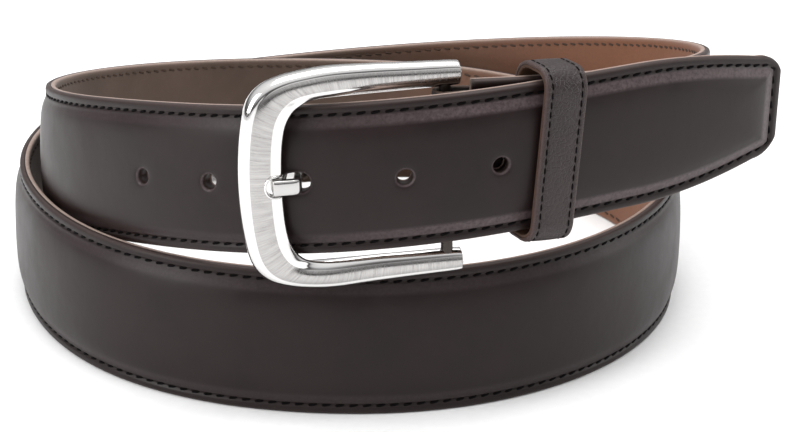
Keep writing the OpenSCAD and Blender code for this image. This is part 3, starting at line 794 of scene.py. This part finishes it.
def smooth_line(p, per):
    """Catmull-Rom through points."""
    q = np.concatenate([[2 * p[0] - p[1]], p, [2 * p[-1] - p[-2]]])
    out = []
    for k in range(len(p) - 1):
        o, a, b, r = q[k:k + 4]
        f = (np.arange(per) / per)[:, None]
        out.append(0.5 * (2 * a + (b - o) * f + (2 * o - 5 * a + 4 * b - r) * f**2
                          + (3 * a - o - 3 * b + r) * f**3))
    return np.concatenate(out + [p[-1:]])


o_line = smooth_line(mirrored(OUTER), 8)
i_line = smooth_line(mirrored(INNER), 8)


FRAME_LO, FRAME_HI, NOSE_RISE = -1.6, 2.0, 1.4
NOSE_UNDER, NOSE_FROM = 1.65, 37.5


def frame_top(u):
    return FRAME_HI + NOSE_RISE * ease((u - 14) / 20)


def frame_under(u, a):
    """Underside: low under the arms, higher under the nose, which passes over the strap."""
    low = np.minimum(NOSE_UNDER, NOSE_UNDER - 0.5 * (u - NOSE_FROM))
    k = ease((np.abs(a) - 18.2) / 2.2)
    return np.maximum(FRAME_LO, low * (1 - k) + FRAME_LO * k)


CAP_RINGS = ((0.93, 0.35), (0.78, 0.62), (0.5, 0.78))    # share of the section, distance past the arm
ARM_CUT = 0.5            # taken off each arm's end for its rounded cap


def arm_cap(section):
    """Shrinking rings that round off an arm's end."""
    centre = section.mean(0)
    return [centre + (section - centre) * share - np.array([push, 0, 0]) for share, push in CAP_RINGS]


def frame_grid():
    """Sections of the frame from one arm's end to the other, and the distance along it of each."""
    grid = []
    for outer, inner in zip(o_line, i_line):
        ua = outer[None] * (1 - CUT[:, :1]) + inner[None] * CUT[:, :1]
        n = frame_under(ua[:, 0], ua[:, 1]) * (1 - CUT[:, 1]) + frame_top(ua[:, 0]) * CUT[:, 1]
        grid.append(np.column_stack([ua[:, 0], n, ua[:, 1]]))
    for end in (0, -1):
        grid[end][:, 0] += ARM_CUT
    run = run_along((o_line + i_line) / 2)
    run = np.concatenate([[-1, -0.6, -0.3], run, run[-1] + np.array([0.3, 0.6, 1.0])])
    return np.array(arm_cap(grid[0])[::-1] + grid + arm_cap(grid[-1])), run


grid, run = frame_grid()
rows, cols = grid.shape[:2]
faces, mat = [], []
for i in range(rows - 1):
    arm_end = i < len(CAP_RINGS) or i > rows - 2 - len(CAP_RINGS)
    for j in range(cols):
        j2 = (j + 1) % cols
        faces.append([i * cols + j, i * cols + j2, (i + 1) * cols + j2, (i + 1) * cols + j])
        mat.append(1 if arm_end or CUT[j, 2] or CUT[j2, 2] else 0)
faces.append(list(range(cols)))
faces.append([(rows - 1) * cols + j for j in range(cols)][::-1])
mat += [1, 1]
pts = in_buckle(grid[..., 0], grid[..., 1], grid[..., 2]).reshape(-1, 3)
across = run_along(grid[rows // 2])
uv = np.stack(np.broadcast_arrays(run[:, None], across[None, :]), -1).reshape(-1, 2)
buckle = make("buckle_frame_metal", pts, faces, [BRUSHED, POLISHED], uv, None, mat)


def cut_with(ob, cutter):
    mod = ob.modifiers.new("cut", "BOOLEAN")
    mod.object = cutter
    mod.operation = "DIFFERENCE"
    mod.solver = "EXACT"
    bpy.context.view_layer.update()
    dg = bpy.context.evaluated_depsgraph_get()
    me = bpy.data.meshes.new_from_object(ob.evaluated_get(dg))
    ob.modifiers.clear()
    old = ob.data
    ob.data = me
    bpy.data.meshes.remove(old)
    bpy.data.objects.remove(cutter)


def solid_from_outline(name, outline_ua, n0, n1, mats):
    """A straight solid in the buckle's frame, from an outline in u and a."""
    k = len(outline_ua)
    o = np.array(outline_ua)
    v = np.concatenate([in_buckle(o[:, 0], n0, o[:, 1]), in_buckle(o[:, 0], n1, o[:, 1])])
    f = [list(range(k))[::-1], [k + j for j in range(k)]]
    f += [[j, (j + 1) % k, k + (j + 1) % k, k + j] for j in range(k)]
    return make(name, v, f, mats, smooth=False)


SEAT_U, SEAT_R, SEAT_H, SEAT_FLOOR = 39.9, 2.1, 2.25, 2.2


def half_round(reach, half, steps):
    """The rounded end of the prong's seat, in u and a."""
    w = np.radians(np.linspace(-90, 90, steps))
    return np.column_stack([SEAT_U + reach * np.cos(w), half * np.sin(w)])


seat = np.concatenate([[(34, -SEAT_H)], half_round(SEAT_R, SEAT_H, 17), [(34, SEAT_H)]])
cut_with(buckle, solid_from_outline("cutter", seat, SEAT_FLOOR, 9, [POLISHED]))
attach(buckle, "buckle")
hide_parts("buckle_frame")
# Raised lip round the prong's seat
LIP_R, LIP_H, LIP_SINK = 2.38, 2.53, 0.12
lip_path = smooth_line(np.concatenate([[(38.1, -2.5), (38.9, -2.5)], half_round(LIP_R, LIP_H, 21),
                                       [(38.9, 2.5), (38.1, 2.5)]]), 2)


def tube(name, centre, normal_up, half_w, half_h, mats, sides=10, power=2.0):
    """A closed tube along points in the buckle's frame (u, n, a), its height along normal_up."""
    centre = np.asarray(centre, float)
    k = len(centre)
    tang = np.gradient(centre, axis=0)
    tang /= np.linalg.norm(tang, axis=1)[:, None]
    up = np.broadcast_to(np.asarray(normal_up, float), centre.shape)
    across_v = np.cross(tang, up)
    across_v /= np.linalg.norm(across_v, axis=1)[:, None]
    up = np.cross(across_v, tang)
    ang = np.arange(sides) * 2 * math.pi / sides
    c = np.sign(np.cos(ang)) * np.abs(np.cos(ang)) ** (2 / power)
    s = np.sign(np.sin(ang)) * np.abs(np.sin(ang)) ** (2 / power)
    hw = np.broadcast_to(np.asarray(half_w, float), (k,))
    hh = np.broadcast_to(np.asarray(half_h, float), (k,))
    v = (centre[:, None] + across_v[:, None] * (c[None] * hw[:, None])[..., None]
         + up[:, None] * (s[None] * hh[:, None])[..., None])
    pts = in_buckle(v[..., 0], v[..., 1], v[..., 2]).reshape(-1, 3)
    run = run_along(centre)
    uv = np.stack(np.broadcast_arrays(run[:, None], (ang / math.pi * hw.max())[None]), -1).reshape(-1, 2)
    return make(name, pts, tube_faces(0, k, sides), mats, uv)


lip_n = frame_top(lip_path[:, 0]) - LIP_SINK
dive = np.array([1.5, 1.05, 0.6, 0.25])                            # its ends run down into the frame
lip_n[:4] -= dive
lip_n[-4:] -= dive[::-1]
lip_tube = tube("prong_seat_lip", np.column_stack([lip_path[:, 0], lip_n, lip_path[:, 1]]), (0, 1, 0),
                0.30, 0.27, [POLISHED])
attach(lip_tube, "buckle")

# ---------------------------------------------------------------- prong
LOOP_R, WIRE, PRONG_HALF_W = 2.22, 0.72, 1.85
LOOP_LAP = 4             # points of the loop that the shank takes over from
turn = np.radians(np.linspace(35, -262, 34))
loop_path = np.stack([np.cos(turn) * LOOP_R, np.sin(turn) * LOOP_R], -1)[::-1][:-LOOP_LAP]
shank = np.array([(7.5, -1.1), (14, -2.8), (21, -3.6), (28, -4.1), (32.0, -4.3), (33.2, -4.0), (33.7, -2.5),
                  (34.15, -0.3), (34.55, 1.6), (34.95, 2.95), (35.8, 3.42), (36.9, 3.45), (38.2, 3.43),
                  (39.3, 3.4), (40.1, 3.35), (40.6, 3.3)])
shank = smooth_line(shank, 6)
centre = np.concatenate([loop_path, shank])
thickness = np.interp(np.linspace(0, 1, len(shank)), [0, 0.12, 0.45, 0.62, 0.8, 0.93, 0.975, 1],
                      [0.62, 0.85, 1.0, 1.0, 1.02, 1.0, 0.85, 0.4])
half_h = np.concatenate([np.full(len(loop_path), WIRE), thickness])
half_w = np.full(len(centre), PRONG_HALF_W)
half_w[-8:] = np.interp(np.arange(8), [0, 4, 7], [PRONG_HALF_W, 1.8, 1.2])
prong = tube("prong_metal", np.column_stack([centre, np.zeros(len(centre))]), (0, 0, 1), half_h, half_w,
             [PRONG_METAL], sides=28, power=4.0)
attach(prong, "prong")
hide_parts("prong")

# ---------------------------------------------------------------- keeper
KEEPER_AT, KEEPER_W = 28.1, 11.0
K_IN, K_OUT, K_HALF, K_MID, K_R = 2.95, 8.35, 19.3, 0.3, 3.6
K_ROT = axes_at(KEEPER_AT)
K_POS = at(KEEPER_AT, W / 2, 0)


def loop_line(grow, r, per=14):
    """Rounded box outline (inward, up) of the keeper, grown outward, and its normals."""
    x0, x1, y = -K_OUT - grow, K_IN + grow, K_HALF + grow
    pts, nor = [], []
    for cx, cy, a0 in ((x1 - r, y - r, 0), (x0 + r, y - r, 90), (x0 + r, r - y, 180), (x1 - r, r - y, 270)):
        for w in np.radians(a0 + np.linspace(0, 90, per)):
            pts.append((cx + r * math.cos(w), cy + r * math.sin(w)))
            nor.append((math.cos(w), math.sin(w)))
        way = 1 if a0 < 180 else -1
        if a0 in (90, 270):                                        # along a long side
            for y2 in np.linspace(y - r, r - y, 26)[1:-1] * way:
                pts.append((x0 if way > 0 else x1, y2))
                nor.append((-way, 0))
        else:                                                      # along an end
            for x2 in np.linspace(x1 - r, x0 + r, 8)[1:-1]:
                pts.append((x2 if way > 0 else x0 + x1 - x2, y * way))
                nor.append((0, way))
    return np.array(pts), np.array(nor)


def keeper_shell(name, grow0, r0, section, mats, node):
    """A loop with a section given as (x along the strap, distance outward from grow0, rim)."""
    pts, nor = loop_line(grow0, r0)
    sec = np.array(section, float)
    k, m = len(pts), len(sec)
    v = np.zeros((k, m, 3))
    v[..., 0] = sec[None, :, 0]
    v[..., 1] = pts[:, None, 0] + nor[:, None, 0] * sec[None, :, 1]
    v[..., 2] = pts[:, None, 1] + nor[:, None, 1] * sec[None, :, 1] + K_MID
    world = local(v.reshape(-1, 3), K_ROT, K_POS)
    f = [[i * m + j, i * m + (j + 1) % m, ((i + 1) % k) * m + (j + 1) % m, ((i + 1) % k) * m + j]
         for i in range(k) for j in range(m)]
    uv = np.stack(np.broadcast_arrays(run_along(pts)[:, None], sec[None, :, 0]), -1).reshape(-1, 2)
    rim = np.broadcast_to(sec[None, :, 2], (k, m)).ravel()
    ob = make(name, world, f, mats, uv, rim)
    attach(ob, "keeper")
    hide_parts(node)


K_LEATHER_IN, K_LEATHER_R = 0.77, K_R + 0.75    # where the leather starts, outside the lining
HW = KEEPER_W / 2
KG = 1.55                # stitch groove, from the edge
half_sec = [(0, 1.0, 0), (HW - 4.2, 0.99, 0), (HW - 3.0, 0.96, 0), (HW - 2.3, 0.93, 0),
            (HW - KG - 0.3, 0.88, 0), (HW - KG, 0.74, 0), (HW - KG + 0.3, 0.88, 0), (HW - 0.95, 0.93, 0.1),
            (HW - 0.5, 0.9, 0.25), (HW - 0.2, 0.78, 0.7), (HW - 0.04, 0.55, 1), (HW, 0.3, 1), (HW, 0.04, 1)]
outer_sec = ([(-x, y, r) for x, y, r in half_sec[::-1]] + half_sec[1:]
             + [(x, 0.0, 0.5) for x in (HW - 0.3, 0.0, 0.3 - HW)])
keeper_shell("keeper_leather_loop", K_LEATHER_IN, K_LEATHER_R, outer_sec, [KEEPER], "keeper_face_leather")
HL = HW - 0.1
lin_sec = [(-HL, 0.75, 1), (-HL, 0.2, 1), (-HL + 0.15, 0.02, 0.6), (-HL + 0.6, 0, 0), (0, 0, 0),
           (HL - 0.6, 0, 0), (HL - 0.15, 0.02, 0.6), (HL, 0.2, 1), (HL, 0.75, 1), (0, 0.75, 0)]
keeper_shell("keeper_lining_loop", 0.0, K_R, lin_sec, [KLINING], "keeper_lining")

K_STITCH_PITCH, K_STITCH_LENGTH, K_STITCH_RINGS, K_STITCH_OUT = 2.2, 1.7, 7, 0.80


def keeper_stitches(name, node, x_at):
    """A row of stitches all round the keeper, x_at mm along the strap from its middle."""
    pts, nor = loop_line(K_LEATHER_IN + K_STITCH_OUT, K_LEATHER_R + K_STITCH_OUT)
    pts = np.concatenate([pts, pts[:1]])
    nor = np.concatenate([nor, nor[:1]])
    run = run_along(pts)
    count = int(run[-1] / K_STITCH_PITCH)
    step = run[-1] / count
    frac = np.linspace(-0.5, 0.5, K_STITCH_RINGS)
    ang = np.arange(STITCH_SIDES) * 2 * math.pi / STITCH_SIDES
    arch = stitch_arch(frac)
    verts, faces, uv = [], [], []
    for k in range(count):
        s = ((k + 0.5) * step + frac * K_STITCH_LENGTH) % run[-1]
        py, pz = np.interp(s, run, pts[:, 0]), np.interp(s, run, pts[:, 1])
        ny, nz = np.interp(s, run, nor[:, 0]), np.interp(s, run, nor[:, 1])
        wob = rng.normal(0, STITCH_WOBBLE)
        faces += tube_faces(k * K_STITCH_RINGS * STITCH_SIDES, K_STITCH_RINGS, STITCH_SIDES)
        for q in range(K_STITCH_RINGS):
            half = 0.21 * (0.7 + 0.3 * math.sqrt(max(arch[q], 0)))
            x = x_at + wob + np.cos(ang) * half + frac[q] * 0.12
            h = -0.16 + 0.2 * arch[q] + np.sin(ang) * half * 0.85
            verts.append(np.column_stack([x, py[q] + ny[q] * h, pz[q] + nz[q] * h + K_MID]))
            uv.append(np.stack([np.full(STITCH_SIDES, s[q] * 2), ang], -1))
    ob = make(name, local(np.concatenate(verts), K_ROT, K_POS), faces, [THREAD], np.concatenate(uv))
    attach(ob, "keeper")
    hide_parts(node)


keeper_stitches("keeper_stitches_a", "keeper_seam_thread_a", -(HW - KG))
keeper_stitches("keeper_stitches_b", "keeper_seam_thread_b", HW - KG)

# ---------------------------------------------------------------- CAD nodes that stay
for name, m in (("heel_bar", DARK_BAR), ("keeper_staple", STAPLE)):
    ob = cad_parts[name]
    ob.data.materials.clear()
    ob.data.materials.append(m)

# ---------------------------------------------------------------- floor, light, camera
fm, nt, b = nodes_of("floor_paper")
paper = add(nt, "ShaderNodeTexNoise", Scale=0.4, Detail=2.0)
link(nt, coords(nt, IN_MM), paper.inputs["Vector"])
link(nt, mix(nt, span(nt, paper.outputs["Fac"], 0.3, 0.7, 0.0, 1.0), (0.93, 0.93, 0.93), (0.95, 0.95, 0.95)),
     b.inputs["Base Color"])
b.inputs["Roughness"].default_value = 0.8
b.inputs["Specular IOR Level"].default_value = 0.1
bpy.ops.mesh.primitive_plane_add(size=12, location=(0, 0, -0.0001))
floor = bpy.context.object
floor.name = "floor"
floor.data.materials.append(fm)

world = bpy.data.worlds.new("studio")
bpy.context.scene.world = world
world.use_nodes = True
wt = world.node_tree
sky = wt.nodes.new("ShaderNodeTexCoord")
axis_z = wt.nodes.new("ShaderNodeSeparateXYZ")
link(wt, sky.outputs["Generated"], axis_z.inputs["Vector"])
glow = ramp(wt, axis_z.outputs["Z"], [(0.0, (0.09, 0.085, 0.085)), (0.14, (0.16, 0.155, 0.155)),
                                      (0.42, (0.85, 0.85, 0.86)), (1.0, (1.35, 1.35, 1.35))])
link(wt, glow, wt.nodes["Background"].inputs["Color"])
wt.nodes["Background"].inputs["Strength"].default_value = 0.9


def light(name, size, power, place, aim=(0, 0, 0.04), size_y=None):
    l = bpy.data.lights.new(name, "AREA")
    l.shape = "RECTANGLE"
    l.size, l.size_y = size, size_y or size
    l.energy = power
    ob = bpy.data.objects.new(name, l)
    ob.location = place
    ob.rotation_euler = (Vector(aim) - Vector(place)).to_track_quat("-Z", "Y").to_euler()
    bpy.context.scene.collection.objects.link(ob)


light("key", 0.55, 5.0, (-0.80, -0.50, 0.42), size_y=0.6)
light("top", 0.9, 9.0, (0.0, 0.15, 1.1))
light("fill", 0.4, 2.2, (0.9, 0.12, 0.30), size_y=0.5)

CAM_DOWN, CAM_ROLL, CAM_DIST, LENS, SENSOR = math.radians(21.2), math.radians(1.11), 0.554, 89.82, 36.0
target = Vector((0.00584, 0.00196, 0.0157))
ahead = Vector((0, math.cos(CAM_DOWN), -math.sin(CAM_DOWN)))
right = Vector((1, 0, 0))
up = right.cross(ahead)
right, up = (right * math.cos(CAM_ROLL) + up * math.sin(CAM_ROLL),
             up * math.cos(CAM_ROLL) - right * math.sin(CAM_ROLL))
cam_data = bpy.data.cameras.new("camera")
cam = bpy.data.objects.new("camera", cam_data)
bpy.context.scene.collection.objects.link(cam)
rot = Matrix((right, up, -ahead)).transposed()
cam.matrix_world = Matrix.Translation(target - ahead * CAM_DIST) @ rot.to_4x4()
cam_data.sensor_fit = "HORIZONTAL"
cam_data.sensor_width = SENSOR
cam_data.lens = LENS
bpy.context.scene.camera = cam
bpy.context.scene.view_settings.view_transform = "Standard"
